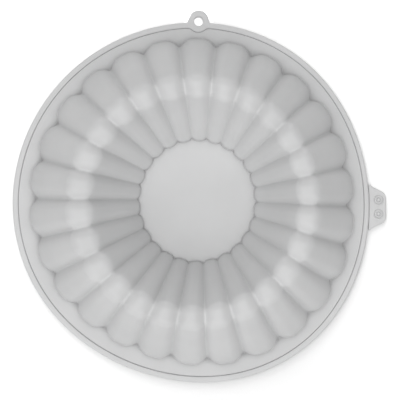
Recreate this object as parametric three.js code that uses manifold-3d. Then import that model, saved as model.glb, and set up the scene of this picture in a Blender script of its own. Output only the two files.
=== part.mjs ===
// Round silicone cake pan, turned over and standing on its rim as it is for turning a cake out.
// Millimetres, +Z up, the rim's open face on z = 0. The hanging eye points to +Y, the grip tab to +X.
// The origin is under the middle of the bounding box, so the pan's own axis stands a little off it.
import * as THREE from 'three';
import { mergeVertices } from 'three/addons/utils/BufferGeometryUtils.js';
import ManifoldModule from 'manifold-3d';

// Rim
const RIM_R = 130;
const BAND_W = 4.4;
const BAND_H = 3.2;
const BAND_CHAMFER = 0.8;

// Flange between the rim band and the feet of the lobes
const FLANGE_W = 8.0;
const FLANGE_T = 2.4;
const FLANGE_RISE = 0.4;
const FLANGE_SEAM = 6.1;

// Fluted ring
const TOTAL_H = 64;
const WALL_T = 2.0;
const LOBES = 26;
const FLAT_AT_FOOT = 0.2;
const FLAT_AT_CREST = 0.42;
const LOBE_POWER = 1.9;
const FLOOR_HALF = 0.85;
const FLOOR_HALF_AT_DISC = 0.3;
const GROOVE_AT_DISC = 1.4;
const GROOVE_AT_CREST = 4.8;
const GROOVE_AT_FLANGE = 4.2;
const CREST_R = 82;
const CREST_FLAT = 4.5;
const CREST_ROUND = 9;

// Centre disc
const DISC_Z = 9;
const DISC_FOOT_R = 42.25;
const DISC_SEAM = 1.25;

// Hanging eye
const EYE_R = 7.25;
const EYE_HOLE_R = 3.5;
const EYE_OUT = 0.4;
const EYE_FLANK_W = 15.8;
const EYE_FLANK_RISE = 2.4;

// Grip tab
const TAB_T = 2.0;
const TAB_REACH = 11.9;
const TAB_ROOT_W = 31;
const TAB_END_W = 22;
const TAB_CORNER_R = 3.3;

// Clearance where one piece is cut round another
const GAP = 0.3;

// Samples over one lobe, from its groove (-1) over its middle (0) towards the next groove
const LOBE_PHASES = [-1, -0.91, -0.62, -0.28, 0.28, 0.62, 0.91];
const ARC_STEPS = 4;
const ROUND_STEPS = 48;

const bandInnerR = RIM_R - BAND_W;
const lobeFootR = bandInnerR - FLANGE_W;
const flangeSeamR = bandInnerR - FLANGE_SEAM;
const discSeamR = DISC_FOOT_R - DISC_SEAM;
const eyeY = RIM_R + EYE_OUT;
const axisX = -TAB_REACH / 2;
const axisY = -(eyeY + EYE_R - RIM_R) / 2;
const pitch = (2 * Math.PI) / LOBES;

const silicone = new THREE.MeshStandardMaterial({ color: 0xcfd1d2, roughness: 0.55, metalness: 0 });

/** Upper face of the flange at radius r: flat at the band, flaring up towards the ring. */
function flangeTop(r) {
  const t = (bandInnerR - r) / FLANGE_W;
  return FLANGE_T + FLANGE_RISE * (0.4 * t + 0.6 * t * t);
}

/** Underside of the flange at radius r, level with the rim's open face at the band. */
function flangeUnder(r) {
  return flangeTop(r) - FLANGE_T;
}

/** Way from the crest out to the flange's foot or in to the disc's foot, 0 on the crest and 1 at a foot. */
function wayDown(r) {
  if (r > CREST_R) return (r - CREST_R) / (lobeFootR - CREST_R);
  return Math.min(1, (CREST_R - r) / (CREST_R - DISC_FOOT_R));
}

/** Half width of the groove's floor, narrowing from the crest towards the disc. */
function floorHalf(r) {
  if (r > CREST_R) return FLOOR_HALF;
  return FLOOR_HALF + (FLOOR_HALF_AT_DISC - FLOOR_HALF) * Math.min(1, 2 * wayDown(r));
}

/** Share of the groove's depth at radius r and phase u: 0 on the lobe's level middle, 1 on the groove's floor. */
function grooveShare(r, u, wider) {
  const floorFrom = 1 - (floorHalf(r) + wider) / ((pitch * Math.max(r, DISC_FOOT_R)) / 2);
  const flat = FLAT_AT_CREST + (FLAT_AT_FOOT - FLAT_AT_CREST) * Math.min(1, wayDown(r) ** 2);
  const past = Math.max(0, Math.abs(u) - flat) / (floorFrom - flat);
  return Math.min(1, past ** LOBE_POWER);
}

/** Depth of the groove square to the wall: deepest on the crest, easing off to both feet. */
function grooveDepth(r) {
  const atFoot = r > CREST_R ? GROOVE_AT_FLANGE : GROOVE_AT_DISC;
  return GROOVE_AT_CREST + (atFoot - GROOVE_AT_CREST) * wayDown(r) ** 2;
}

/** Touching point on a circle of the line from an outside foot; turn is +1 or -1. */
function tangentAngle(centre, radius, foot, turn) {
  const away = new THREE.Vector2().subVectors(foot, centre);
  return Math.atan2(away.y, away.x) + turn * Math.acos(radius / away.length());
}

/** Top line of one side of a lobe from the crest down to its foot, each point with its normal. */
function topLine(side, foot) {
  const centre = new THREE.Vector2(CREST_R + (side * CREST_FLAT) / 2, TOTAL_H - CREST_ROUND);
  const last = tangentAngle(centre, CREST_ROUND, foot, side);
  const up = Math.PI / 2;
  const end = side > 0 ? last : last < 0 ? last + 2 * Math.PI : last;
  const line = [{ p: new THREE.Vector2(CREST_R, TOTAL_H), n: new THREE.Vector2(0, 1) }];
  for (let i = 0; i <= ARC_STEPS; i += 1) {
    const a = up + ((end - up) * i) / ARC_STEPS;
    const n = new THREE.Vector2(Math.cos(a), Math.sin(a));
    line.push({ p: centre.clone().addScaledVector(n, CREST_ROUND), n });
  }
  return line;
}

/** Point of a lobe's wall below its top line at phase u, under a further depth of wall; the inside's floor is wider. */
function sunk(station, u, under) {
  const r = station.p.x;
  const depth = grooveDepth(r) * grooveShare(r, u, under / 2) + under;
  return station.p.clone().addScaledVector(station.n, -depth);
}

/** Where the sunk wall line from its last arc point towards the foot meets the height floor(r). */
function wallFoot(line, foot, u, under, floor) {
  const from = line[line.length - 1];
  const at = (s) => sunk({ p: from.p.clone().lerp(foot, s), n: from.n }, u, under);
  let lo = 0;
  let hi = 1.6;
  for (let i = 0; i < 50; i += 1) {
    const mid = (lo + hi) / 2;
    const p = at(mid);
    if (p.y > floor(p.x)) lo = mid;
    else hi = mid;
  }
  return at((lo + hi) / 2);
}

const outerFoot = new THREE.Vector2(lobeFootR, flangeTop(lobeFootR));
const innerFoot = new THREE.Vector2(DISC_FOOT_R, DISC_Z);
const outerLine = topLine(1, outerFoot);
const innerLine = topLine(-1, innerFoot);

/** Closed wall section of the ring's outer side at phase u, from crest to flange seam. */
function outerSection(u) {
  const topFoot = wallFoot(outerLine, outerFoot, u, 0, flangeTop);
  const underFoot = wallFoot(outerLine, outerFoot, u, WALL_T, flangeUnder);
  const topMid = (topFoot.x + flangeSeamR) / 2;
  const top = outerLine.map((s) => sunk(s, u, 0));
  const under = outerLine.map((s) => sunk(s, u, WALL_T));
  top.push(topFoot, new THREE.Vector2(topMid, flangeTop(topMid)));
  top.push(new THREE.Vector2(flangeSeamR, flangeTop(flangeSeamR)));
  under.push(underFoot, new THREE.Vector2(flangeSeamR, flangeUnder(flangeSeamR)));
  return [...under, ...top.reverse()];
}

/** Closed wall section of the ring's inner side at phase u, from crest to the disc seam. */
function innerSection(u) {
  const top = innerLine.map((s) => sunk(s, u, 0));
  const under = innerLine.map((s) => sunk(s, u, WALL_T));
  top.push(wallFoot(innerLine, innerFoot, u, 0, () => DISC_Z));
  top.push(new THREE.Vector2(discSeamR, DISC_Z));
  under.push(wallFoot(innerLine, innerFoot, u, WALL_T, () => DISC_Z - WALL_T));
  under.push(new THREE.Vector2(discSeamR, DISC_Z - WALL_T));
  return [...top, ...under.reverse()];
}

/** Solid of revolution whose section may change with the lobe's phase. */
function turned(sectionAt, closed) {
  const columns = LOBES * LOBE_PHASES.length;
  const close = (section) => (closed ? [...section, section[0]] : section);
  const geometry = new THREE.LatheGeometry(close(sectionAt(0)), columns);
  const position = geometry.getAttribute('position');
  for (let i = 0; i <= columns; i += 1) {
    const u = LOBE_PHASES[i % LOBE_PHASES.length];
    const lobe = Math.floor((i % columns) / LOBE_PHASES.length);
    const angle = (lobe + u / 2) * pitch;
    const section = close(sectionAt(u));
    section.forEach((p, j) => {
      const x = p.x * Math.sin(angle);
      const y = -p.x * Math.cos(angle);
      position.setXYZ(i * section.length + j, x, y, p.y);
    });
  }
  return geometry;
}

const { Manifold, Mesh: ManifoldMesh } = await (async () => {
  const kernel = await ManifoldModule();
  kernel.setup();
  return kernel;
})();

/** Closed geometry as a manifold solid. */
function solid(geometry) {
  const bare = new THREE.BufferGeometry();
  bare.setAttribute('position', geometry.getAttribute('position').clone());
  bare.setIndex(geometry.index ? geometry.index.clone() : null);
  const merged = mergeVertices(bare, 1e-4);
  const corners = merged.index.array;
  const kept = [];
  for (let i = 0; i < corners.length; i += 3) {
    const [a, b, c] = [corners[i], corners[i + 1], corners[i + 2]];
    if (a !== b && b !== c && c !== a) kept.push(a, b, c);
  }
  return new Manifold(new ManifoldMesh({
    numProp: 3,
    vertProperties: Float32Array.from(merged.getAttribute('position').array),
    triVerts: Uint32Array.from(kept),
  }));
}

/** Geometry of a manifold solid. */
function geometryOf(body) {
  const mesh = body.getMesh();
  const geometry = new THREE.BufferGeometry();
  geometry.setAttribute('position', new THREE.BufferAttribute(new Float32Array(mesh.vertProperties), 3));
  geometry.setIndex([...mesh.triVerts]);
  return geometry;
}

/** Upright round post at (x, y) from z0 to z1. */
function post(radius, x, y, z0, z1) {
  const geometry = new THREE.CylinderGeometry(radius, radius, z1 - z0, ROUND_STEPS);
  geometry.rotateX(Math.PI / 2);
  geometry.translate(x, y, (z0 + z1) / 2);
  return solid(geometry);
}

/** Rim band, thicker than the flange, with its outer edge broken. */
function bandSection() {
  return [
    new THREE.Vector2(bandInnerR, 0),
    new THREE.Vector2(RIM_R, 0),
    new THREE.Vector2(RIM_R, BAND_H - BAND_CHAMFER),
    new THREE.Vector2(RIM_R - BAND_CHAMFER, BAND_H),
    new THREE.Vector2(bandInnerR, BAND_H),
  ];
}

/** Flange between the ring's seam and the band. */
function flangeSection() {
  return [
    new THREE.Vector2(flangeSeamR, flangeUnder(flangeSeamR)),
    new THREE.Vector2(bandInnerR, 0),
    new THREE.Vector2(bandInnerR, FLANGE_T),
    new THREE.Vector2(flangeSeamR, flangeTop(flangeSeamR)),
  ];
}

/** Flat disc in the middle, from the axis to its seam. */
function discSection() {
  return [
    new THREE.Vector2(0, DISC_Z - WALL_T),
    new THREE.Vector2(discSeamR, DISC_Z - WALL_T),
    new THREE.Vector2(discSeamR, DISC_Z),
    new THREE.Vector2(0, DISC_Z),
  ];
}

const eyeRoom = post(EYE_R + GAP, 0, eyeY, -BAND_H, 2 * BAND_H);
const eyeHole = post(EYE_HOLE_R, 0, eyeY, -BAND_H, 2 * BAND_H);

/** Space inside the rim's outside, with clearance. */
function rimRoomSection() {
  return [
    new THREE.Vector2(0, -BAND_H),
    new THREE.Vector2(RIM_R + GAP, -BAND_H),
    new THREE.Vector2(RIM_R + GAP, 2 * BAND_H),
    new THREE.Vector2(0, 2 * BAND_H),
  ];
}

/** Hanging eye: round boss with slanted flanks down to the rim, holed through. */
function eyeSolid() {
  const topHalf = Math.sqrt(EYE_R ** 2 - EYE_FLANK_RISE ** 2);
  const flanks = new THREE.Shape();
  flanks.moveTo(-topHalf, EYE_FLANK_RISE);
  flanks.lineTo(-EYE_FLANK_W / 2, -EYE_OUT);
  flanks.lineTo(-EYE_FLANK_W / 2, -EYE_R);
  flanks.lineTo(EYE_FLANK_W / 2, -EYE_R);
  flanks.lineTo(EYE_FLANK_W / 2, -EYE_OUT);
  flanks.lineTo(topHalf, EYE_FLANK_RISE);
  flanks.closePath();
  const flankBody = new THREE.ExtrudeGeometry(flanks, { depth: BAND_H, bevelEnabled: false });
  flankBody.translate(0, eyeY, 0);
  const outside = solid(flankBody).subtract(solid(turned(rimRoomSection, false)));
  return post(EYE_R, 0, eyeY, 0, BAND_H).add(outside).subtract(eyeHole);
}

/** Grip tab: plan outline and side outline, with a round root to bend about, intersected. */
function tabSolid() {
  const rootX = RIM_R + GAP;
  const endX = RIM_R + TAB_REACH;
  const half = TAB_ROOT_W / 2;
  const endHalf = TAB_END_W / 2;
  const flank = endX - TAB_CORNER_R;
  const plan = new THREE.Shape();
  plan.moveTo(rootX, -half);
  plan.lineTo(flank, -endHalf);
  plan.quadraticCurveTo(endX, -endHalf + TAB_CORNER_R * 0.4, endX, -endHalf + TAB_CORNER_R);
  plan.lineTo(endX, endHalf - TAB_CORNER_R);
  plan.quadraticCurveTo(endX, endHalf - TAB_CORNER_R * 0.4, flank, endHalf);
  plan.lineTo(rootX, half);
  plan.closePath();
  const planBody = new THREE.ExtrudeGeometry(plan, { depth: 3 * TAB_T, bevelEnabled: false, curveSegments: 6 });
  planBody.translate(0, 0, -TAB_T);
  const side = new THREE.Shape();
  side.moveTo(endX + 1, 0);
  side.lineTo(endX + 1, TAB_T);
  side.lineTo(rootX + TAB_T / 2, TAB_T);
  side.absarc(rootX + TAB_T / 2, TAB_T / 2, TAB_T / 2, Math.PI / 2, (3 * Math.PI) / 2, false);
  side.closePath();
  const sideBody = new THREE.ExtrudeGeometry(side, { depth: 2 * TAB_ROOT_W, bevelEnabled: false, curveSegments: 8 });
  sideBody.rotateX(Math.PI / 2);
  sideBody.translate(0, TAB_ROOT_W, 0);
  return solid(planBody).intersect(solid(sideBody));
}

const pan = new THREE.Group();
pan.name = 'round_silicone_cake_pan';

/** Adds one piece to the pan under its own name, moved with the pan's axis. */
function add(name, geometry) {
  geometry.translate(axisX, axisY, 0);
  geometry.computeVertexNormals();
  const mesh = new THREE.Mesh(geometry, silicone.clone());
  mesh.name = name;
  pan.add(mesh);
}

add('rim_band', geometryOf(solid(turned(bandSection, true)).subtract(eyeRoom)));
add('hanging_eye', geometryOf(eyeSolid()));
add('grip_tab', geometryOf(tabSolid()));
add('rim_flange', geometryOf(solid(turned(flangeSection, true)).subtract(eyeRoom)));
add('ring_outer_side', turned(outerSection, true));
add('ring_inner_side', turned(innerSection, true));
add('centre_disc', turned(discSection, false));

export default pan;
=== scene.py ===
"""Round silicone cake pan, turned over on its rim on a white table.

Everything is placed in the CAD frame, in metres: +Z up, the rim stands on z = 0, the hanging eye points
to +Y and the grip tab to +X. The classes hold their sizes in millimetres about the pan's own axis, and
MeshMaker moves them to the frame and to metres.
"""

from __future__ import annotations
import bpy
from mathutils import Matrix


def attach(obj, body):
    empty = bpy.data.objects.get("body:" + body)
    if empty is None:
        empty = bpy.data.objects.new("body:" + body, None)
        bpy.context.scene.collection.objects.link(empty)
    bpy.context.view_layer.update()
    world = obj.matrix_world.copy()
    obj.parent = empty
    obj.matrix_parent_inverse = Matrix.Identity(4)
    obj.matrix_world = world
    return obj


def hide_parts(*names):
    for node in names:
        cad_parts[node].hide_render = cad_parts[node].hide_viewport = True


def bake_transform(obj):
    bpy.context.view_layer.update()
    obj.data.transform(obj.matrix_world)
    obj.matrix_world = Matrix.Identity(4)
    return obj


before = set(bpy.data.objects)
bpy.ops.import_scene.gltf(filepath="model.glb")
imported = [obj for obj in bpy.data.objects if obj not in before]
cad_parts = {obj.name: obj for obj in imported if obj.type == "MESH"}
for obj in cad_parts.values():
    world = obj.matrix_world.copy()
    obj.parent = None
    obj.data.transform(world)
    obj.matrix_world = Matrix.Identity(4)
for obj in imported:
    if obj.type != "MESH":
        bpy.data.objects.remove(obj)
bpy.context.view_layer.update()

import logging
from dataclasses import dataclass, field
from enum import Enum
from math import radians

import bpy
import numpy as np
from mathutils import Vector
from numpy.typing import NDArray

LOG = logging.getLogger("cake_pan")
Array = NDArray[np.float64]
Waves = tuple[tuple[int, float, float], ...]
Tint = tuple[float, float, float]

MM = 0.001
AXIS_XY = (-5.95, -3.825)
BAND_INNER_R = 125.6
# Name of the vertex attribute that holds the painted shade in the wall's creases, cusps, grooves and
# flange.
PAINTED_SHADE_ATTR = "painted_crease_shade"
SHARP_FROM_DEG = 48.0
BISECTIONS = 45


class Body(Enum):
    """Rigid bodies of the frame that the pieces ride on."""

    PAN = "pan"
    TAB = "tab"


def smoothstep(low: float, high: float, x: Array) -> Array:
    """Ease from 0 at low to 1 at high: 3t^2 - 2t^3 of the clipped share t.

    Args:
        low: Value where the ease starts.
        high: Value where the ease ends.
        x: Values to ease.

    Returns:
        Eased values, each from 0 to 1.
    """
    t = np.clip((x - low) / (high - low), 0.0, 1.0)
    return t * t * (3.0 - 2.0 * t)


def soft_min(a: Array, b: Array, k: float) -> Array:
    """Smaller of two values with their crossing rounded over a width k.

    Args:
        a: First values.
        b: Second values.
        k: Width of the rounding.

    Returns:
        min(a, b) less a parabola that is k / 4 deep where the two are equal.
    """
    h = np.clip(k - np.abs(a - b), 0.0, None) / k
    return np.minimum(a, b) - h * h * k / 4.0


@dataclass(frozen=True)
class SoftSet:
    """How the soft moulding has settled a little out of round, in millimetres.

    Waves are (order, cosine, sine) round the pan: of the change in radius for the rim and for the
    lobes' outer feet, in degrees for the twist.
    """

    rim_waves: Waves = (
        (1, 0.35, -0.27),
        (2, -0.39, -0.77),
        (3, -1.31, -0.45),
        (4, -0.32, 0.19),
    )
    twist_waves: Waves = ((1, 0.16, -0.33), (2, 0.13, 0.975))
    foot_waves: Waves = ((1, 0.235, 0.4), (2, 0.245, -0.39))
    foot_from: float = 90.0
    foot_full: float = 112.0
    foot_until: float = 119.0
    foot_none: float = 125.0
    rim_from: float = 86.0
    rim_full: float = 112.0
    centre_shift: tuple[float, float] = (3.3, 1.2)
    centre_oval: float = -1.1
    centre_full: float = 44.0
    centre_none: float = 101.0

    @staticmethod
    def waves(terms: Waves, angle: Array) -> Array:
        """Sum of the cosine and sine waves at the angles."""
        return sum(c * np.cos(n * angle) + s * np.sin(n * angle) for n, c, s in terms)

    def settle(self, points: Array) -> Array:
        """Points moved by the waves of the rim and the feet, the twist and the lean of the centre.

        The radius gains the sum of the rim's waves, eased in from the crest to the rim, and that of
        the feet's waves, eased in and out on the way. The angle gains the sum of the twist's waves.
        The centre shifts sideways and turns oval by a share that falls evenly from the disc's edge to
        the outer wall.

        Args:
            points: Positions about the pan's axis, last dimension x, y, z.

        Returns:
            Moved positions of the same shape.
        """
        x, y, z = points[..., 0], points[..., 1], points[..., 2]
        radius = np.hypot(x, y)
        angle = np.arctan2(y, x)
        wave = self.waves(self.rim_waves, angle)
        rim_share = smoothstep(self.rim_from, self.rim_full, radius)
        span = self.centre_none - self.centre_full
        centre_share = np.clip((self.centre_none - radius) / span, 0.0, 1.0)
        oval_share = centre_share * np.clip(radius / self.centre_full, 0.0, 1.0)
        foot_share = smoothstep(self.foot_from, self.foot_full, radius)
        foot_share = foot_share * (1.0 - smoothstep(self.foot_until, self.foot_none, radius))
        foot_wave = self.waves(self.foot_waves, angle) * foot_share
        gain = wave * rim_share + foot_wave + self.centre_oval * np.cos(2.0 * angle) * oval_share
        turned = angle + np.radians(self.waves(self.twist_waves, angle))
        moved_x = (radius + gain) * np.cos(turned) + self.centre_shift[0] * centre_share
        moved_y = (radius + gain) * np.sin(turned) + self.centre_shift[1] * centre_share
        return np.stack([moved_x, moved_y, z], axis=-1)


@dataclass
class MeshMaker:
    """Turns grids of points about the pan's axis into closed meshes in the frame."""

    soft: SoftSet = field(default_factory=SoftSet)

    def placed(self, points: Array) -> Array:
        """Points settled, moved with the pan's axis into the frame, in metres."""
        shift = np.array([AXIS_XY[0], AXIS_XY[1], 0.0])
        return (self.soft.settle(points) + shift) * MM

    @staticmethod
    def ring_quads(rows: int, columns: int, close_rows: bool) -> NDArray[np.int64]:
        """Quads of a grid that closes round its columns, and round its rows if asked.

        Args:
            rows: Points along the section.
            columns: Sections round the path.
            close_rows: Whether the last row joins the first.

        Returns:
            Corner indices, four to a quad, into points stored row by row.
        """
        last = rows if close_rows else rows - 1
        i, j = np.meshgrid(np.arange(last), np.arange(columns), indexing="ij")
        below, beside = (i + 1) % rows, (j + 1) % columns
        corners = [i * columns + j, below * columns + j, below * columns + beside, i * columns + beside]
        return np.stack(corners, axis=-1).reshape(-1, 4)

    @staticmethod
    def strip_quads(rows: int, columns: int) -> NDArray[np.int64]:
        """Quads of a grid that closes round its rows and is open along its columns.

        Args:
            rows: Points round the section.
            columns: Sections along the path.

        Returns:
            Corner indices, four to a quad, into points stored row by row.
        """
        i, j = np.meshgrid(np.arange(rows), np.arange(columns - 1), indexing="ij")
        below = (i + 1) % rows
        corners = [i * columns + j, below * columns + j, below * columns + j + 1, i * columns + j + 1]
        return np.stack(corners, axis=-1).reshape(-1, 4)

    @staticmethod
    def fan(pole: int, ring: NDArray[np.int64]) -> NDArray[np.int64]:
        """Triangles from a pole to each pair of neighbours on a closed ring."""
        return np.stack([np.full(len(ring), pole), ring, np.roll(ring, -1)], axis=-1)

    @staticmethod
    def outward(points: Array, triangles: NDArray[np.int64]) -> bool:
        """Whether the signed volume under the triangles is positive."""
        a, b, c = (points[triangles[:, k]] for k in range(3))
        return float(np.einsum("ij,ij->i", a, np.cross(b, c)).sum()) > 0.0

    def mesh(
        self,
        name: str,
        points: Array,
        quads: NDArray[np.int64],
        triangles: NDArray[np.int64] | None = None,
    ) -> bpy.types.Object:
        """One smooth closed mesh object with its faces turned outwards.

        Args:
            name: Name of the piece.
            points: Positions about the pan's axis, one row each.
            quads: Corner indices of the quads.
            triangles: Corner indices of the pole triangles, if any.

        Returns:
            The new object, standing at the origin.
        """
        placed = self.placed(points)
        tris = np.zeros((0, 3), dtype=np.int64) if triangles is None else triangles
        split = np.concatenate([quads[:, [0, 1, 2]], quads[:, [0, 2, 3]], tris])
        if not self.outward(placed, split):
            quads = quads[:, ::-1]
            tris = tris[:, ::-1]
        data = bpy.data.meshes.new(name)
        data.from_pydata(placed, [], quads.tolist() + tris.tolist())
        data.polygons.foreach_set("use_smooth", np.ones(len(data.polygons), dtype=bool))
        data.validate()
        data.update()
        data.set_sharp_from_angle(angle=radians(SHARP_FROM_DEG))
        piece = bpy.data.objects.new(name, data)
        bpy.context.scene.collection.objects.link(piece)
        LOG.info("%s: %d vertices, %d faces", name, len(data.vertices), len(data.polygons))
        return piece

    @staticmethod
    def paint(piece: bpy.types.Object, painted_shades: Array) -> None:
        """Store the painted shade of every vertex as an attribute for the material."""
        piece.data.attributes.new(PAINTED_SHADE_ATTR, "FLOAT", "POINT").data.foreach_set("value", painted_shades)


@dataclass(frozen=True)
class Columns:
    """What differs from column to column round the wall.

    way: Way across the lobe.
    edge: Radius of the band's inner edge.
    rise: How much higher the flange is at the ring than at the band.
    """

    way: Array
    edge: Array
    rise: Array


@dataclass
class FlutedWall:
    """The thin fluted wall: centre disc, ring of lobes and flange, in millimetres."""

    band_inner_r: float = BAND_INNER_R
    tucked_r: float = 127.4
    flange_w: float = 8.0
    flange_t: float = 2.4
    flange_rise: float = -0.8
    flange_tilt: tuple[float, float] = (-0.4, -0.3)
    flange_bow: float = 0.6
    flange_past: float = 1.05
    underside_lift: float = 0.03
    step_line_w: float = 0.4
    step_line_depth: float = 0.75
    total_h: float = 64.0
    wall_t: float = 2.0
    lobes: int = 26
    flat_at_foot: float = 0.2
    flat_at_crest: float = 0.12
    lobe_power: float = 1.9
    lobe_power_half_way: float = 2.8
    groove_at_disc: float = 1.4
    groove_at_crest: float = 4.2
    groove_at_flange: float = 4.8
    floor_half: float = 0.85
    floor_half_at_disc: float = 0.3
    floor_half_at_flange: float = 0.7
    groove_round: float = 0.2
    crest_r: float = 82.0
    crest_flat: float = 4.5
    crest_round: float = 9.0
    disc_z: float = 9.0
    disc_foot_r: float = 42.25
    crease: float = 0.6
    foot_line_depth: float = 0.6
    disc_line_depth: float = 1.3
    foot_line_half: float = 0.8
    cusp_half: float = 1.3
    cusp_depth: float = 1.0
    least_t: float = 0.3
    # Painted shade: how much the feet, the cusps, the flange towards the ring and the grooves are
    # darkened in colour, standing in for the shade that falls there.
    painted_shade_at_foot: float = 0.17
    painted_shade_at_disc: float = 0.6
    painted_shade_on_flange: float = 1.8
    painted_shade_on_disc: float = 0.5
    painted_shade_on_wall: float = 0.8
    groove_painted_shade: float = 0.2
    flange_painted_shade: float = 0.11
    flange_painted_shade_reach: float = 9.0
    cusp_power: int = 3
    groove_painted_shade_power: int = 4
    groove_painted_shade_from: float = 0.05
    groove_painted_shade_full: float = 0.4
    columns_per_half: int = 10
    column_crowding: float = 1.5
    floor_columns: tuple[float, ...] = (1.3, 1.6)
    arc_steps: int = 9
    wall_rows: tuple[float, ...] = (0.12, 0.3, 0.5, 0.7, 0.84, 0.94, 0.98)
    crease_steps: int = 7
    disc_rows: tuple[float, ...] = (0.06, 0.16, 0.34, 0.55, 0.78, 0.985)
    flange_rows: tuple[float, ...] = (0.15, 0.4, 0.7, 1.0)
    line_rows: tuple[float, ...] = (0.25, 0.5, 0.75, 1.0, 1.5)
    longest_wall: float = 1.6

    @property
    def pitch(self) -> float:
        """Angle from one lobe to the next."""
        return 2.0 * np.pi / self.lobes

    @property
    def outer_foot_r(self) -> float:
        """Radius of the lobes' foot on the flange."""
        return self.band_inner_r - self.flange_w

    def columns(self) -> tuple[Array, NDArray[np.int64]]:
        """Way across its lobe and number of the lobe for every column.

        The way is 0 on the middle of the lobe, 1 at the edge of the groove's floor and 2 in the
        middle of the floor. It is crowded towards 1 by a power.

        Returns:
            Signed ways and lobe numbers.
        """
        even = np.arange(1, self.columns_per_half + 1) / self.columns_per_half
        half = np.concatenate([1.0 - (1.0 - even) ** self.column_crowding, self.floor_columns])
        one = np.concatenate([[-2.0], -half[::-1], [0.0], half])
        return np.tile(one, self.lobes), np.repeat(np.arange(self.lobes), len(one))

    def half_pitch(self, r: Array) -> Array:
        """Distance round the pan from a lobe's middle to its groove, that of the foot on the disc."""
        return self.pitch * np.maximum(r, self.disc_foot_r) / 2.0

    def out_and_in(self, r: Array) -> tuple[Array, Array]:
        """Ways down the outer and the inner side, each 0 on the crest and 1 at the lobes' foot.

        Args:
            r: Radii.

        Returns:
            Ways down the outer side and ways down the inner side.
        """
        out = np.clip((r - self.crest_r) / (self.outer_foot_r - self.crest_r), 0.0, None)
        inward = np.clip((self.crest_r - r) / (self.crest_r - self.disc_foot_r), 0.0, 1.0)
        return out, inward

    def groove_floor(self, r: Array) -> Array:
        """Half width of the groove's floor, which narrows evenly to half way down each side.

        Args:
            r: Radii.

        Returns:
            Half widths.
        """
        out, inward = self.out_and_in(r)
        to_disc = (self.floor_half_at_disc - self.floor_half) * np.minimum(2.0 * inward, 1.0)
        to_flange = (self.floor_half_at_flange - self.floor_half) * np.minimum(2.0 * out, 1.0)
        return self.floor_half + to_disc + to_flange

    def phase(self, r: Array, way: Array) -> Array:
        """Phase over the lobe, -1 in one groove to 1 in the next, for a way across it at a radius.

        Ways up to 1 are spread evenly over the lobe, the others over half of the groove's floor.

        Args:
            r: Radii.
            way: Ways across the lobe, of a shape that fits the radii.

        Returns:
            Phases.
        """
        half = self.half_pitch(r)
        floor = self.groove_floor(r)
        size = np.abs(way)
        past = np.clip(size - 1.0, 0.0, 1.0) * floor
        return np.sign(way) * (np.minimum(size, 1.0) * (half - floor) + past) / half

    def share(self, r: Array, way: Array, under: float) -> Array:
        """Share of the groove's depth that the wall has sunk at a radius.

        The lobe's middle is level, over a narrower part on the crest than at the feet. From there to
        the edge of the groove's floor the share is a power of the way. The power is highest half way
        down the outer wall, by a half sine. A soft limit rounds the corner at the floor, which is
        wider on the inside of the wall by its thickness.

        Args:
            r: Radii.
            way: Ways across the lobe, of a shape that fits the radii.
            under: Depth under the outside.

        Returns:
            Shares from 0 to 1.
        """
        floor_from = 1.0 - (self.groove_floor(r) + under / 2.0) / self.half_pitch(r)
        out, inward = self.out_and_in(r)
        to_foot = np.clip(out**2 + inward**2, 0.0, 1.0)
        flat = self.flat_at_crest + (self.flat_at_foot - self.flat_at_crest) * to_foot
        past = np.clip(np.abs(self.phase(r, way)) - flat, 0.0, None)
        steeper = (self.lobe_power_half_way - self.lobe_power) * np.sin(np.pi * np.minimum(out, 1.0))
        rise = (past / (floor_from - flat)) ** (self.lobe_power + steeper)
        return soft_min(rise, np.ones_like(rise), self.groove_round)

    def cusp(self, foot: Array, way: Array) -> Array:
        """How far each column's foot lies in the notch between two lobes: a power of its share."""
        return self.share(foot[:, 0], way, 0.0) ** self.cusp_power

    def groove_depth(self, r: Array) -> Array:
        """Depth of the groove square to the wall: the crest's, going over to each foot's by a square.

        Args:
            r: Radii.

        Returns:
            Depths.
        """
        out, inward = self.out_and_in(r)
        outer = (self.groove_at_flange - self.groove_at_crest) * out**2
        inner = (self.groove_at_disc - self.groove_at_crest) * inward**2
        return self.groove_at_crest + outer + inner

    def flange_top(self, r: Array, rise: Array) -> Array:
        """Height of the flange's outside: level under the band, dipping a little towards the ring."""
        t = np.clip((self.band_inner_r - r) / self.flange_w, 0.0, self.flange_past)
        return self.flange_t + rise * ((1.0 - self.flange_bow) * t + self.flange_bow * t * t)

    def step_line(self, r: Array, edge: Array) -> Array:
        """Depth of the thin moulded line where the flange meets the band's inner edge."""
        return self.step_line_depth * smoothstep(-self.step_line_w, 0.0, r - edge)

    def crown(self, side: int) -> tuple[Array, Array, Array]:
        """Top line of a lobe's side from the crest to its foot.

        The crest is level, then an arc turns down until it points at the foot, where the straight
        wall leaves it as a tangent: the touching angle is the foot's bearing plus or minus
        arccos(radius / distance).

        Args:
            side: 1 for the outer side, -1 for the inner side.

        Returns:
            Points and unit normals along the crest and the arc, and the foot.
        """
        if side > 0:
            foot = np.array([self.outer_foot_r, self.flange_t + self.flange_rise])
        else:
            foot = np.array([self.disc_foot_r, self.disc_z])
        centre = np.array([self.crest_r + side * self.crest_flat / 2.0, self.total_h - self.crest_round])
        away = foot - centre
        bearing = np.arctan2(away[1], away[0])
        end = bearing + side * np.arccos(self.crest_round / np.hypot(*away))
        end = end if side > 0 else end % (2.0 * np.pi)
        turn = np.linspace(np.pi / 2.0, end, self.arc_steps)
        normals = np.stack([np.cos(turn), np.sin(turn)], axis=-1)
        return centre + self.crest_round * normals, normals, foot

    def sunk(self, points: Array, normals: Array, way: Array, under: float) -> Array:
        """Points pushed in along their normals by the groove's depth and a further depth.

        Args:
            points: Stations on the top line, radius and height in the last dimension.
            normals: Unit normals at the stations.
            way: Ways across the lobe, of a shape that fits the stations.
            under: Further depth, such as the wall's thickness.

        Returns:
            Radius and height for every station and way.
        """
        r = points[..., 0]
        depth = self.groove_depth(r) * self.share(r, way, under) + under
        return points - normals * depth[..., None]

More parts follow.
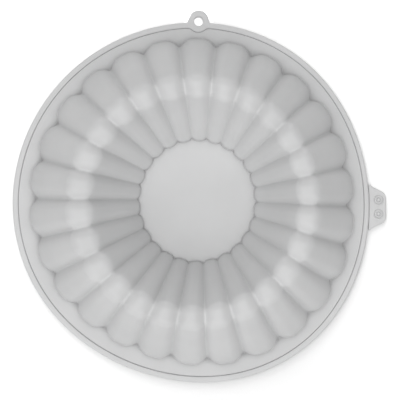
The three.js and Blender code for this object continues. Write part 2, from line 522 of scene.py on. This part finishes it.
    def wall_foot(self, side: int, columns: Columns, under: float) -> Array:
        """Where the straight wall meets the disc or the flange in every column, by bisection.

        Args:
            side: 1 for the outer side, -1 for the inner side.
            columns: The columns round the wall.
            under: Depth under the outside.

        Returns:
            Radius and height of the foot in every column.
        """
        points, normals, foot = self.crown(side)
        start, normal = points[-1], normals[-1]
        low = np.zeros_like(columns.way)
        high = np.full_like(columns.way, self.longest_wall)
        for _ in range(BISECTIONS):
            middle = (low + high) / 2.0
            p = self.sunk(start + (foot - start) * middle[:, None], normal, columns.way, under)
            above = p[:, 1] > self.ground(side, p[:, 0], columns.rise, under)
            low = np.where(above, middle, low)
            high = np.where(above, high, middle)
        return self.sunk(start + (foot - start) * low[:, None], normal, columns.way, under)

    def ground(self, side: int, r: Array, rise: Array, under: float) -> Array:
        """Height that a wall stands on: the flange outside, the disc inside.

        Args:
            side: 1 for the outer side, -1 for the inner side.
            r: Radii.
            rise: How much higher the flange is at the ring than at the band.
            under: Depth under the outside.

        Returns:
            Heights.
        """
        if side < 0:
            return np.full_like(r, self.disc_z - under)
        top = self.flange_top(r, rise)
        if under == 0.0:
            return top
        return np.maximum(top - self.flange_t, 0.0) + self.underside_lift

    def ground_radii(self, side: int, start: Array, edge: Array) -> Array:
        """Radii of the rows from a wall's crease to the disc's middle or to under the band.

        Args:
            side: 1 for the outer side, -1 for the inner side.
            start: Radius where each column leaves the crease.
            edge: Radius of the band's inner edge in each column.

        Returns:
            Radii for every row and column.
        """
        if side < 0:
            return start * (1.0 - np.array(self.disc_rows)[:, None])
        line = edge - self.step_line_w
        near = start + (line - start) * np.array(self.flange_rows)[:, None]
        stops = line + self.step_line_w * np.array(self.line_rows)[:, None]
        return np.concatenate([near, stops, np.full_like(start, self.tucked_r)[None]])

    def side_rows(self, side: int, columns: Columns, under: float) -> Array:
        """Rows of one side from the crest to the middle of the disc or to under the band.

        Straight wall and ground meet in a crease that is rounded by a parabola between a point up
        the wall and a point out on the ground. A thin line is sunk along the crease: its depth falls
        off as 1 - (distance / half width)^2 and leaves a least thickness over the inside.

        Args:
            side: 1 for the outer side, -1 for the inner side.
            columns: The columns round the wall.
            under: Depth under the outside.

        Returns:
            Radius, height and painted crease shade for every row and column.
        """
        way, edge, rise = columns.way, columns.edge, columns.rise
        points, normals, _ = self.crown(side)
        spread = np.ones((len(points), len(way), 1))
        arc = self.sunk(points[:, None, :] * spread, normals[:, None, :], way, under)
        foot = self.wall_foot(side, columns, under)
        up = arc[-1] - foot
        up /= np.linalg.norm(up, axis=-1, keepdims=True)
        on_wall = foot + self.crease * up
        out_r = foot[:, 0] + side * self.crease
        on_ground = np.stack([out_r, self.ground(side, out_r, rise, under)], axis=-1)
        wall = arc[-1] + (on_wall - arc[-1]) * np.array(self.wall_rows)[:, None, None]
        t = np.linspace(0.0, 1.0, self.crease_steps)[:, None, None]
        crease = (1 - t) ** 2 * on_wall + 2 * t * (1 - t) * foot + t**2 * on_ground
        ground_r = self.ground_radii(side, out_r, edge)
        ground_z = self.ground(side, ground_r, rise, under)
        if under == 0.0:
            cusp = self.cusp(foot, way)
            half = self.foot_line_half + (self.cusp_half - self.foot_line_half) * cusp * (side > 0)
            reach = np.linalg.norm(crease - foot, axis=-1) / half
            line = self.foot_line_depth if side > 0 else self.disc_line_depth
            deep = line + self.cusp_depth * cusp
            lowest = self.ground(side, crease[..., 0], rise, self.wall_t) + self.least_t
            sunk = crease[..., 1] - deep * np.clip(1.0 - reach**2, 0.0, None)
            crease[..., 1] = np.maximum(sunk, lowest)
            ground_z = ground_z - self.step_line(ground_r, edge) * (side > 0)
        ground = np.stack([ground_r, ground_z], axis=-1)
        rows = np.concatenate([arc, wall, crease, ground])
        # Painted shade for the outside only; the inside gets none.
        painted_shade = self.painted_shade(side, rows, foot, way) * (under == 0.0)
        return np.concatenate([rows, painted_shade[..., None]], axis=-1)

    def painted_shade(self, side: int, rows: Array, foot: Array, way: Array) -> Array:
        """How much painted shade darkens the colour where shade falls in the creases, grooves and
        flange.

        The painted shade is fullest in the cusps between the lobes and a share of that along a lobe's
        foot. It fades as e^(-distance from the foot / reach), with one reach on the ground and one up
        the wall.
        The flange has a second, slight painted shade that fades in the same way over most of its width,
        and the grooves one that goes with their depth and is gone on the crest.

        Args:
            side: 1 for the outer side, -1 for the inner side.
            rows: Radius and height for every row and column.
            foot: Radius and height of the foot in every column.
            way: Way across the lobe of every column.

        Returns:
            Painted shade, 0 for none and 1 for the full crease.
        """
        apart = np.linalg.norm(rows - foot, axis=-1)
        on_ground = side * (rows[..., 0] - foot[:, 0]) > 0.0
        ground_reach = self.painted_shade_on_flange if side > 0 else self.painted_shade_on_disc
        reach = np.where(on_ground, ground_reach, self.painted_shade_on_wall)
        least = self.painted_shade_at_foot if side > 0 else self.painted_shade_at_disc
        # Painted shade along the feet, fullest in the cusps.
        crease = (least + (1.0 - least) * self.cusp(foot, way)) * np.exp(-apart / reach)
        on_flange = on_ground & (side > 0)
        # Painted shade on the flange towards the ring.
        shade = self.flange_painted_shade * np.exp(-apart / self.flange_painted_shade_reach) * on_flange
        # Painted shade in the grooves, by their depth, none on the crest.
        r = rows[..., 0]
        below_crest = smoothstep(self.groove_painted_shade_from, self.groove_painted_shade_full, sum(self.out_and_in(r)))
        sunk = self.share(r, way, 0.0) ** self.groove_painted_shade_power
        groove = self.groove_painted_shade * sunk * below_crest * ~on_ground
        return crease + shade + groove

    def face(self, columns: Columns, under: float) -> Array:
        """Rows of the whole outside or inside, from the disc's middle over the crest to the band.

        Args:
            columns: The columns round the wall.
            under: 0 for the outside, the wall's thickness for the inside.

        Returns:
            Radius, height and painted crease shade for every row and column.
        """
        inner = self.side_rows(-1, columns, under)[::-1]
        outer = self.side_rows(1, columns, under)
        return np.concatenate([inner, outer])

    def build(self, maker: MeshMaker, rim: RimWithEye) -> bpy.types.Object:
        """Closed shell: outside rows out to the band, inside rows back, a pole in each middle.

        Args:
            maker: Mesh maker of the pan.
            rim: The rim whose inner edge the step line follows.

        Returns:
            The wall's object.
        """
        way, lobe = self.columns()
        at_band = self.phase(np.full_like(way, self.band_inner_r), way)
        turned = (lobe + at_band / 2.0) * self.pitch
        tilt = self.flange_tilt[0] * np.sin(turned) - self.flange_tilt[1] * np.cos(turned)
        set_out = Columns(way, rim.inner_edge(np.pi - turned), self.flange_rise + tilt)
        rows = np.concatenate([self.face(set_out, 0.0), self.face(set_out, self.wall_t)[::-1]])
        r, z = rows[..., 0], rows[..., 1]
        angles = (lobe + self.phase(r, way) / 2.0) * self.pitch
        grid = np.stack([r * np.sin(angles), -r * np.cos(angles), z], axis=-1)
        count, columns = r.shape
        poles = np.array([[0.0, 0.0, self.disc_z], [0.0, 0.0, self.disc_z - self.wall_t]])
        points = np.concatenate([grid.reshape(-1, 3), poles])
        quads = maker.ring_quads(count, columns, close_rows=False)
        first = np.arange(columns)
        last = first + (count - 1) * columns
        pole = count * columns
        fans = np.concatenate([maker.fan(pole, first), maker.fan(pole + 1, last)[:, ::-1]])
        wall = maker.mesh("fluted_wall", points, quads, fans)
        # Painted crease shade on every vertex, none on the two poles.
        maker.paint(wall, np.concatenate([rows[..., 2].ravel(), [0.0, 0.0]]))
        return wall


@dataclass
class RimWithEye:
    """Thick band round the edge with the holed hanging eye, in millimetres."""

    rim_r: float = 129.5
    band_inner_r: float = BAND_INNER_R
    band_h: float = 3.2
    edge: float = 0.75
    foot_edge: float = 0.35
    hole_at: float = 130.55
    hole_r: float = 3.45
    hole_edge: float = 0.4
    boss_at: float = 131.1
    boss_r: float = 7.15
    dip_r: float = 8.0
    flank_half: float = 8.6
    flank_rise: float = 2.4
    slim: float = 0.6
    slim_at_deg: float = 78.0
    slim_focus: float = 6.0
    seam_r: float = 127.8
    seam_reach: float = 5.0
    zone: float = 15.0
    dip_round: float = 1.6
    boss_round: float = 1.2
    front_deg: float = 60.0
    far_off: float = 60.0
    hole_sections: int = 49
    lip_sections: int = 9
    beside_sections: int = 90
    far_sections: int = 560
    edge_steps: int = 7
    foot_in: tuple[float, ...] = (1.0, 0.3, 0.0)

    def angles(self) -> Array:
        """Angles from +Y of all sections, crowded round the eye and even on the hole's circle.

        Over the hole the sideways distance is the hole's radius times the sine of an even angle.

        Returns:
            Rising angles round the whole rim.
        """
        over = self.hole_r * np.sin(np.linspace(-np.pi / 2.0, np.pi / 2.0, self.hole_sections))
        lip = self.hole_r + self.hole_edge * np.linspace(0.0, 1.0, self.lip_sections)[1:] ** 2
        beside = np.concatenate([lip, np.linspace(lip[-1], self.zone, self.beside_sections)[1:]])
        near = np.arcsin(np.concatenate([-beside[::-1], over, beside]) / self.hole_at)
        far = np.linspace(near[-1], near[0] + 2.0 * np.pi, self.far_sections)[1:-1]
        return np.concatenate([near, far])

    def in_front(self, angle: Array) -> NDArray[np.bool_]:
        """Whether each angle lies on the side of the rim that has the eye."""
        return np.cos(angle) > np.cos(radians(self.front_deg))

    def chord(self, angle: Array, at: float, radius: float) -> tuple[Array, Array, Array]:
        """Crossings of the rays from the axis with a circle whose middle lies at +Y.

        Args:
            angle: Angles of the rays from +Y.
            at: Distance of the circle's middle from the axis.
            radius: Radius of the circle.

        Returns:
            Near distances, far distances and whether each ray crosses.
        """
        side = at * np.sin(angle)
        crosses = self.in_front(angle) & (np.abs(side) < radius)
        reach = np.sqrt(np.clip(radius**2 - side**2, 0.0, None))
        return at * np.cos(angle) - reach, at * np.cos(angle) + reach, crosses

    def inner_edge(self, angle: Array) -> Array:
        """Radius of the band's inner edge: the soft smaller of the band and a circle round the eye.

        Args:
            angle: Angles from +Y.

        Returns:
            Radii.
        """
        near, _, crosses = self.chord(angle, self.hole_at, self.dip_r)
        dip = np.where(crosses, near, self.rim_r + self.far_off)
        return soft_min(np.full_like(angle, self.band_inner_r), dip, self.dip_round)

    def outer_edge(self, angle: Array) -> Array:
        """Radius of the outside: the soft larger of the rim and the eye's round boss with its flanks.

        The rim is a little slimmer towards one side, by a bump e^(-focus (1 - cos a)), where a is the
        angle from there.

        Args:
            angle: Angles from +Y.

        Returns:
            Radii.
        """
        side = np.abs(self.boss_at * np.sin(angle))
        _, top, _ = self.chord(angle, self.boss_at, self.boss_r)
        shoulder = np.sqrt(self.boss_r**2 - self.flank_rise**2)
        slope = (self.flank_rise + self.boss_at - self.rim_r) / (self.flank_half - shoulder)
        flank = self.boss_at + self.flank_rise - (side - shoulder) * slope
        eye = np.where(side < shoulder, top, flank)
        eye = np.where(self.in_front(angle), eye, self.rim_r - self.far_off)
        off_slim = 1.0 - np.cos(angle - radians(self.slim_at_deg))
        plain = self.rim_r - self.slim * np.exp(-off_slim * self.slim_focus)
        return -soft_min(-eye, -plain, self.boss_round)

    def seam(self, angle: Array) -> Array:
        """Radius of the line inside the band that opens into the hole.

        It is pulled to the hole's middle by e^(-(distance past the hole / reach)^2).

        Args:
            angle: Angles from +Y.

        Returns:
            Radii.
        """
        past = np.clip(np.abs(self.hole_at * np.sin(angle)) - self.hole_r, 0.0, None)
        pull = np.exp(-((past / self.seam_reach) ** 2)) * self.in_front(angle)
        return self.seam_r + (self.hole_at * np.cos(angle) - self.seam_r) * pull

    @staticmethod
    def plan(radius: Array, angle: Array) -> Array:
        """Plan positions of an outline, x and y."""
        return np.stack([radius * np.sin(angle), radius * np.cos(angle)], axis=-1)

    @staticmethod
    def inward(outline: Array, sense: float) -> Array:
        """Unit normals of a closed outline, to its right for sense 1 and to its left for -1.

        Args:
            outline: Plan positions round the outline.
            sense: 1 or -1.

        Returns:
            One normal to a position.
        """
        along = np.roll(outline, -1, axis=0) - np.roll(outline, 1, axis=0)
        along /= np.linalg.norm(along, axis=-1, keepdims=True)
        return sense * np.stack([along[:, 1], -along[:, 0]], axis=-1)

    def profile(self, top_edge: float) -> tuple[Array, Array]:
        """Inset and height up one side: broken foot, upright wall, quarter-round top edge.

        Args:
            top_edge: Radius of the top edge.

        Returns:
            Insets and heights.
        """
        turn = np.linspace(0.0, np.pi / 2.0, self.edge_steps)
        foot = self.foot_edge * np.array(self.foot_in)
        inset = np.concatenate([foot, top_edge * (1.0 - np.cos(turn))])
        height = np.concatenate([foot[::-1], self.band_h - top_edge * (1.0 - np.sin(turn))])
        return inset, height

    def side_rows(self, outline: Array, sense: float) -> Array:
        """Rows up an outside of the band, inset along the outline's normals.

        Args:
            outline: Plan positions round the outline.
            sense: 1 if the band lies to the outline's right, -1 if to its left.

        Returns:
            Positions for every row and section.
        """
        inset, height = self.profile(self.edge)
        flat = outline[None] + self.inward(outline, sense)[None] * inset[:, None, None]
        level = np.broadcast_to(height[:, None, None], (*flat.shape[:2], 1))
        return np.concatenate([flat, level], axis=-1)

    def hole_rows(self, angle: Array, far: bool) -> Array:
        """Rows up one side of the seam, opening to the hole's circle widened by the inset.

        Args:
            angle: Angles of the sections from +Y.
            far: Whether it is the side away from the axis.

        Returns:
            Positions for every row and section.
        """
        inset, height = self.profile(self.hole_edge)
        rows = []
        for wide, level in zip(inset, height):
            near_r, far_r, crosses = self.chord(angle, self.hole_at, self.hole_r + wide)
            radius = np.where(crosses, far_r if far else near_r, self.seam(angle))
            heights = np.full((len(angle), 1), level)
            rows.append(np.concatenate([self.plan(radius, angle), heights], axis=-1))
        return np.stack(rows)

    def build(self, maker: MeshMaker) -> bpy.types.Object:
        """Two strips that meet on the seam and part round the hole.

        Args:
            maker: Mesh maker of the pan.

        Returns:
            The rim's object.
        """
        angle = self.angles()
        inner = self.side_rows(self.plan(self.inner_edge(angle), angle), -1.0)
        outer = self.side_rows(self.plan(self.outer_edge(angle), angle), 1.0)
        strips = [
            np.concatenate([inner, self.hole_rows(angle, far=False)[::-1]]),
            np.concatenate([self.hole_rows(angle, far=True), outer[::-1]]),
        ]
        count, columns = strips[0].shape[:2]
        quads = maker.ring_quads(count, columns, close_rows=True)
        points = np.concatenate([s.reshape(-1, 3) for s in strips])
        both = np.concatenate([quads, quads + count * columns])
        return maker.mesh("rim_with_eye", points, both)


@dataclass
class GripTab:
    """Thin tab past the rim with two plain pairs of raised grip rings, in millimetres."""

    root_x: float = 130.0
    start_x: float = 128.6
    end_x: float = 141.3
    thick: float = 2.0
    lift: float = 0.02
    root_half: float = 15.05
    end_half: float = 9.75
    corner: float = 3.2
    fillet: float = 0.9
    fillet_run: float = 0.8
    edge: float = 0.7
    ring_x: float = 135.9
    ring_places: tuple[float, ...] = (-5.0, 5.0)
    ring_radii: tuple[float, ...] = (1.4, 3.1)
    ring_half: float = 0.55
    ring_height: float = 0.85
    root_line_r: float = 129.25
    root_line_depth: float = 0.75
    root_line_w: float = 0.5
    bend_from: float = 128.9
    bend_to: float = 133.4
    aside: float = -0.9
    least_slim: float = 0.12
    lengthwise: int = 130
    end_crowding: float = 1.6
    across: int = 150
    edge_steps: int = 13

    def half_width(self, x: Array) -> Array:
        """Half width at x: slanted flanks, a fillet at the root and round corners at the end.

        Args:
            x: Distances from the pan's axis.

        Returns:
            Half widths.
        """
        run = np.clip((x - self.root_x) / (self.end_x - self.root_x), 0.0, 1.0)
        flank = self.root_half + (self.end_half - self.root_half) * run
        flank = flank + self.fillet * np.exp(-np.clip(x - self.root_x, 0.0, None) / self.fillet_run)
        past = np.clip(x - (self.end_x - self.corner), 0.0, self.corner)
        return flank - self.corner + np.sqrt(np.clip(self.corner**2 - past**2, 0.0, None))

    def relief(self, x: Array, y: Array) -> Array:
        """Height of the grip rings on the top, less the thin line along the root.

        A ring is a rounded ridge that eases off with the distance from its circle.

        Args:
            x: Distances from the pan's axis towards the tab.
            y: Distances to the side.

        Returns:
            Heights to add to the top.
        """
        apart = np.hypot(x[..., None] - self.ring_x, y[..., None] - np.array(self.ring_places))
        off = np.abs(apart[..., None] - np.array(self.ring_radii)).min(axis=(-2, -1))
        ring = self.ring_height * (1.0 - smoothstep(0.0, self.ring_half, off))
        root = np.sqrt(np.clip(self.root_line_r**2 - y**2, 0.0, None))
        return ring - self.root_line_depth * (1.0 - smoothstep(0.0, self.root_line_w, x - root))

    def build(self, maker: MeshMaker) -> bpy.types.Object:
        """Rounded flat section carried along x, closed at both ends.

        A section is a flat bar with half-round edges. Its thickness follows a quarter circle down at
        the outer end.

        Args:
            maker: Mesh maker of the pan.

        Returns:
            The tab's object.
        """
        even = np.linspace(0.0, 1.0, self.lengthwise)
        x = self.start_x + (self.end_x - self.start_x) * (1.0 - (1.0 - even) ** self.end_crowding)
        close = np.clip(x - (self.end_x - self.edge), 0.0, self.edge) / self.edge
        slim = np.clip(np.sqrt(np.clip(1.0 - close**2, 0.0, None)), self.least_slim, 1.0)
        half_t = self.thick / 2.0 * slim
        half_w = self.half_width(x)
        turn = np.linspace(np.pi / 2.0, -np.pi / 2.0, self.edge_steps)[1:-1]
        flat = np.linspace(-1.0, 1.0, self.across)
        top_y = flat[:, None] * (half_w - self.edge)
        side_y = (half_w - self.edge) + self.edge * np.cos(turn)[:, None]
        side_z = np.sin(turn)[:, None] * half_t
        ones = np.ones_like(top_y)
        y = np.concatenate([top_y, side_y, top_y[::-1], -side_y[::-1]])
        z = np.concatenate([ones * half_t, side_z, -ones * half_t, side_z[::-1]])
        xs = np.broadcast_to(x, y.shape)
        is_top = np.zeros(len(y))
        is_top[: self.across] = 1.0
        z = z + self.thick / 2.0 + self.lift + self.relief(xs, y) * is_top[:, None]
        points = np.stack([xs, y + self.aside, z], axis=-1)
        rows, columns = y.shape
        quads = maker.strip_quads(rows, columns)
        caps = []
        grid = points.reshape(-1, 3)
        poles = np.stack([points[:, 0].mean(axis=0), points[:, -1].mean(axis=0)])
        for k, column in enumerate((0, columns - 1)):
            ring = np.arange(rows) * columns + column
            fan = maker.fan(rows * columns + k, ring)
            caps.append(fan if k else fan[:, ::-1])
        closed = np.concatenate([grid, poles])
        return maker.mesh("grip_tab_blade", closed, quads, np.concatenate(caps))

    def bend(self, piece: bpy.types.Object) -> None:
        """Bake the blade's placement into its mesh.

        Args:
            piece: The blade.
        """
        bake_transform(piece)


@dataclass(frozen=True)
class SiliconeFinish:
    """Satin grey silicone: cloudy tint, painted shade in the creases, soft gloss changes, fine moulded
    grain.
    """

    pale: Tint = (0.671, 0.6725, 0.6745)
    deep: Tint = (0.634, 0.636, 0.6385)
    # Colour of the painted shade in the creases, grooves and flange.
    crease: Tint = (0.36, 0.362, 0.364)
    cloud_per_m: float = 28.0
    cloud_detail: float = 3.0
    cloud_low: float = 0.3
    cloud_high: float = 0.7
    gloss_per_m: float = 75.0
    grain_per_m: float = 1500.0
    fine_detail: float = 2.0
    rough_low: float = 0.36
    rough_high: float = 0.46
    specular: float = 0.5
    grain_depth_m: float = 0.00003
    grain_strength: float = 0.35

    def material(self) -> bpy.types.Material:
        """Principled shader with noise on the object's own coordinates and the wall's painted crease
        shade.

        Returns:
            The new material.
        """
        made = bpy.data.materials.new("satin_grey_silicone")
        made.use_nodes = True
        nodes, links = made.node_tree.nodes, made.node_tree.links
        shader = nodes["Principled BSDF"]
        shader.inputs["Specular IOR Level"].default_value = self.specular
        where = nodes.new("ShaderNodeTexCoord").outputs["Object"]

        def noise(per_m: float, detail: float) -> bpy.types.Node:
            """Noise on object coordinates.

            Args:
                per_m: Scale for coordinates in metres.
                detail: Number of finer layers.

            Returns:
                The noise node.
            """
            node = nodes.new("ShaderNodeTexNoise")
            node.inputs["Scale"].default_value = per_m
            node.inputs["Detail"].default_value = detail
            links.new(where, node.inputs["Vector"])
            return node

        tint = nodes.new("ShaderNodeValToRGB")
        tint.color_ramp.elements[0].position = self.cloud_low
        tint.color_ramp.elements[0].color = (*self.deep, 1.0)
        tint.color_ramp.elements[1].position = self.cloud_high
        tint.color_ramp.elements[1].color = (*self.pale, 1.0)
        links.new(noise(self.cloud_per_m, self.cloud_detail).outputs["Fac"], tint.inputs["Fac"])
        # Painted shade: the wall's attribute darkens the colour towards the crease colour where shade
        # falls.
        painted_shade = nodes.new("ShaderNodeAttribute")
        painted_shade.attribute_name = PAINTED_SHADE_ATTR
        painted_shade_mix = nodes.new("ShaderNodeMixRGB")
        painted_shade_mix.inputs["Color2"].default_value = (*self.crease, 1.0)
        links.new(painted_shade.outputs["Fac"], painted_shade_mix.inputs["Fac"])
        links.new(tint.outputs["Color"], painted_shade_mix.inputs["Color1"])
        links.new(painted_shade_mix.outputs["Color"], shader.inputs["Base Color"])
        gloss = nodes.new("ShaderNodeMapRange")
        gloss.inputs["To Min"].default_value = self.rough_low
        gloss.inputs["To Max"].default_value = self.rough_high
        links.new(noise(self.gloss_per_m, self.fine_detail).outputs["Fac"], gloss.inputs["Value"])
        links.new(gloss.outputs["Result"], shader.inputs["Roughness"])
        bump = nodes.new("ShaderNodeBump")
        bump.inputs["Strength"].default_value = self.grain_strength
        bump.inputs["Distance"].default_value = self.grain_depth_m
        links.new(noise(self.grain_per_m, self.fine_detail).outputs["Fac"], bump.inputs["Height"])
        links.new(bump.outputs["Normal"], shader.inputs["Normal"])
        return made


@dataclass(frozen=True)
class Lamp:
    """Wide soft sun lamp that shines from an azimuth and a height above the table."""

    name: str
    strength: float
    azimuth_deg: float
    height_deg: float
    spread_deg: float = 38.0

    def build(self) -> bpy.types.Object:
        """Make the lamp.

        Returns:
            The lamp's object.
        """
        data = bpy.data.lights.new(self.name, "SUN")
        data.energy = self.strength
        data.angle = radians(self.spread_deg)
        lamp = bpy.data.objects.new(self.name, data)
        lamp.rotation_euler = (0.0, radians(90.0 - self.height_deg), radians(self.azimuth_deg))
        bpy.context.scene.collection.objects.link(lamp)
        return lamp


@dataclass
class Studio:
    """White table, weak dome, soft lamps and the camera straight above."""

    dome: float = 0.364
    lamps: tuple[Lamp, ...] = (
        Lamp("overhead", 0.583, 0.0, 90.0),
        Lamp("left", 0.315, 180.0, 60.0),
        Lamp("front_left", 0.29, 228.0, 50.0),
        Lamp("front", 0.15, 260.0, 52.0),
        Lamp("front_right", 0.415, 280.0, 45.0),
        Lamp("right", 0.238, 315.0, 35.0),
        Lamp("low_left", 0.17, 225.0, 12.0),
        Lamp("low_front", 0.085, 270.0, 12.0),
        Lamp("low_back", 0.655, 90.0, 12.0),
    )
    shades: tuple[Lamp, ...] = (
        Lamp("shade_right", 0.46, 75.0, 45.0, 50.0),
        Lamp("shade_low", 2.15, 105.0, 16.0, 45.0),
        Lamp("shade_low_left", 0.77, 135.0, 20.0, 50.0),
        Lamp("shade_left", 0.52, 135.0, 45.0, 50.0),
    )
    eye_watts: float = 35.0
    eye_lamp_m: tuple[float, float, float] = (0.15, 0.36, 1.0)
    eye_beam_deg: float = 1.0
    eye_lamp_size_m: float = 0.002
    table_seen: float = 0.785
    table_bounce: float = 0.515
    table_half_m: float = 4.0
    frame_px: float = 400.0
    mm_per_px: float = 260.0 / 360.0
    pan_px: tuple[float, float] = (192.58, 202.29)
    roll_deg: float = 1.45
    camera_height_m: float = 4.0
    camera_reach_m: float = 20.0
    sensor_mm: float = 36.0

    @staticmethod
    def by_camera(tree: bpy.types.NodeTree, other: float, camera: float) -> bpy.types.NodeSocket:
        """Level that is one value for the camera and another for every other ray.

        Args:
            tree: Node tree to add to.
            other: Level for light that bounces.
            camera: Level for what the camera sees.

        Returns:
            The socket with the level.
        """
        path = tree.nodes.new("ShaderNodeLightPath")
        level = tree.nodes.new("ShaderNodeMapRange")
        level.inputs["To Min"].default_value = other
        level.inputs["To Max"].default_value = camera
        tree.links.new(path.outputs["Is Camera Ray"], level.inputs["Value"])
        return level.outputs["Result"]

    def table(self) -> bpy.types.Object:
        """White table that keeps the shadow and shows white to the camera.

        Returns:
            The table's object.
        """
        h = self.table_half_m
        data = bpy.data.meshes.new("table")
        data.from_pydata([(-h, -h, 0), (h, -h, 0), (h, h, 0), (-h, h, 0)], [], [(0, 1, 2, 3)])
        table = bpy.data.objects.new("table", data)
        bpy.context.scene.collection.objects.link(table)
        made = bpy.data.materials.new("white_table")
        made.use_nodes = True
        tree = made.node_tree
        tree.nodes.remove(tree.nodes["Principled BSDF"])
        diffuse = tree.nodes.new("ShaderNodeBsdfDiffuse")
        tree.links.new(self.by_camera(tree, self.table_bounce, self.table_seen), diffuse.inputs["Color"])
        tree.links.new(diffuse.outputs["BSDF"], tree.nodes["Material Output"].inputs["Surface"])
        data.materials.append(made)
        return table

    def world(self) -> None:
        """Even white dome for light, full white behind everything for the camera."""
        world = bpy.data.worlds.new("soft_dome")
        bpy.context.scene.world = world
        world.use_nodes = True
        back = world.node_tree.nodes["Background"]
        level = self.by_camera(world.node_tree, self.dome, 1.0)
        world.node_tree.links.new(level, back.inputs["Strength"])
        back.inputs["Color"].default_value = (1.0, 1.0, 1.0, 1.0)

    def eye_light(self, eye: Array) -> bpy.types.Object:
        """Narrow lamp high behind the hanging eye that lights the table through its hole.

        Args:
            eye: Middle of the hole on the table.

        Returns:
            The lamp's object.
        """
        data = bpy.data.lights.new("through_eye", "SPOT")
        data.energy = self.eye_watts
        data.spot_size = radians(self.eye_beam_deg)
        data.shadow_soft_size = self.eye_lamp_size_m
        lamp = bpy.data.objects.new("through_eye", data)
        lamp.location = Vector(eye) + Vector(self.eye_lamp_m)
        lamp.rotation_euler = Vector(self.eye_lamp_m).to_track_quat("Z", "Y").to_euler()
        bpy.context.scene.collection.objects.link(lamp)
        return lamp

    def lights(self, table: bpy.types.Object, low: list[bpy.types.Object], eye: Array) -> None:
        """Dome and lamps on everything, the shade lamps and the eye's lamp on the table alone.

        Args:
            table: The table, the only thing that the shade lamps and the eye's lamp light.
            low: The pieces that block the shade lamps and so cast the rim's soft shadow.
            eye: Middle of the eye's hole on the table.
        """
        self.world()
        for lamp in self.lamps:
            lamp.build()
        lit = bpy.data.collections.new("table_only")
        lit.objects.link(table)
        casting = bpy.data.collections.new("low_pieces")
        for piece in low:
            casting.objects.link(piece)
        for shade in self.shades:
            lamp = shade.build()
            lamp.light_linking.receiver_collection = lit
            lamp.light_linking.blocker_collection = casting
        self.eye_light(eye).light_linking.receiver_collection = lit

    def camera(self) -> None:
        """Long lens straight above, turned and moved so that the pan's middle falls on its pixel."""
        roll = radians(self.roll_deg)
        right = (self.frame_px / 2.0 - self.pan_px[0]) * self.mm_per_px
        up = (self.pan_px[1] - self.frame_px / 2.0) * self.mm_per_px
        x = AXIS_XY[0] + right * np.cos(roll) - up * np.sin(roll)
        y = AXIS_XY[1] + right * np.sin(roll) + up * np.cos(roll)
        data = bpy.data.cameras.new("above")
        data.sensor_width = self.sensor_mm
        data.lens = self.sensor_mm * self.camera_height_m / (self.frame_px * self.mm_per_px * MM)
        data.clip_end = self.camera_reach_m
        camera = bpy.data.objects.new("above", data)
        camera.location = (x * MM, y * MM, self.camera_height_m)
        camera.rotation_euler = (0.0, 0.0, roll)
        bpy.context.scene.collection.objects.link(camera)
        bpy.context.scene.camera = camera

    def build(self, low: list[bpy.types.Object], eye: Array) -> None:
        """Table, lights, camera and plain colour handling.

        Args:
            low: The pieces that lie close to the table.
            eye: Middle of the eye's hole on the table.
        """
        bpy.context.scene.view_settings.view_transform = "Standard"
        self.lights(self.table(), low, eye)
        self.camera()


@dataclass
class CakePan:
    """The whole pan: wall, rim with eye and grip tab, all of one silicone."""

    maker: MeshMaker = field(default_factory=MeshMaker)
    wall: FlutedWall = field(default_factory=FlutedWall)
    rim: RimWithEye = field(default_factory=RimWithEye)
    tab: GripTab = field(default_factory=GripTab)
    finish: SiliconeFinish = field(default_factory=SiliconeFinish)

    def build(self) -> list[bpy.types.Object]:
        """Make the pieces, dress them and tie the wall and the rim to the pan's body.

        Returns:
            The pieces that lie close to the table.
        """
        silicone = self.finish.material()
        wall = self.wall.build(self.maker, self.rim)
        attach(wall, Body.PAN.value)
        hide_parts("rim_flange", "ring_outer_side", "ring_inner_side", "centre_disc")
        rim = self.rim.build(self.maker)
        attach(rim, Body.PAN.value)
        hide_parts("rim_band", "hanging_eye")
        blade = self.tab.build(self.maker)
        self.tab.bend(blade)
        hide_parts("grip_tab")
        for piece in (wall, rim, blade):
            piece.data.materials.append(silicone)
        return [rim, blade]

    def eye(self) -> Array:
        """Middle of the eye's hole on the table, in the frame."""
        return self.maker.placed(np.array([0.0, self.rim.hole_at, 0.0]))


def save_sizes() -> None:
    """Bring the scene's transforms up to date."""
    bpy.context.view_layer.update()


def main() -> None:
    """Build the pan and the studio."""
    logging.basicConfig(level=logging.INFO, format="%(name)s: %(message)s")
    pan = CakePan()
    low = pan.build()
    save_sizes()
    Studio().build(low, pan.eye())


if __name__ == "__main__":
    main()
